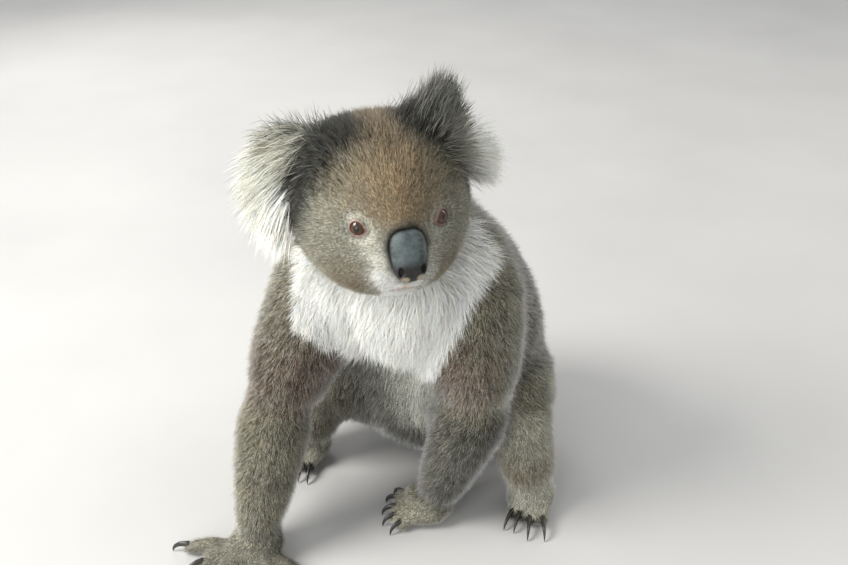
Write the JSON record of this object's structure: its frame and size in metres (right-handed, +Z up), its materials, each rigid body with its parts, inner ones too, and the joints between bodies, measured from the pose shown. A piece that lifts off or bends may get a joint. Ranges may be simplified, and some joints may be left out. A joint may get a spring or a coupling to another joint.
{
  "type": "koala, life-size still model",
  "caption": "Life-size still model of a sitting female koala, propped on both arms with her head turned, with large fringed ears, a broad leathery nose and a white bib.",
  "frame": {"origin": "on the floor, under the middle of the koala's bounding box", "axes": "+Z up; the trunk faces -Y and the koala's left side is +X; the head is turned to her left"},
  "size_m": [0.3552, 0.401, 0.4852],
  "materials": {
    "grey_coat": "dense grey-brown fur, dark at the root and frosted at the tip",
    "white_bib": "long soft creamy white fur",
    "ear_fringe": "long white wisps over dark grey fur",
    "pale_paw": "short pale grey fur",
    "eye": "glossy brown iris with an upright dark pupil",
    "nose_leather": "slate grey, finely grained, slightly moist",
    "claw_horn": "dark polished horn"
  },
  "bodies": {
    "root": {"eye_left": "eye", "eye_right": "eye", "nose": "nose_leather", "head": "grey_coat", "ear_left": "ear_fringe", "ear_right": "ear_fringe", "trunk": "grey_coat", "neck": "grey_coat", "chest": "white_bib", "upper_arm_left": "grey_coat", "forearm_left": "grey_coat", "hand_left": "pale_paw", "claw_hand_left_1": "claw_horn", "claw_hand_left_2": "claw_horn", "claw_hand_left_3": "claw_horn", "claw_hand_left_4": "claw_horn", "claw_hand_left_5": "claw_horn", "upper_arm_right": "grey_coat", "forearm_right": "grey_coat", "hand_right": "pale_paw", "claw_hand_right_1": "claw_horn", "claw_hand_right_2": "claw_horn", "claw_hand_right_3": "claw_horn", "claw_hand_right_4": "claw_horn", "claw_hand_right_5": "claw_horn", "thigh_left": "grey_coat", "shank_left": "grey_coat", "foot_left": "pale_paw", "claw_foot_left_2": "claw_horn", "claw_foot_left_3": "claw_horn", "claw_foot_left_4": "claw_horn", "claw_foot_left_5": "claw_horn", "thigh_right": "grey_coat", "shank_right": "grey_coat", "foot_right": "pale_paw", "claw_foot_right_2": "claw_horn", "claw_foot_right_3": "claw_horn", "claw_foot_right_4": "claw_horn", "claw_foot_right_5": "claw_horn"}
  },
  "joints": []
}
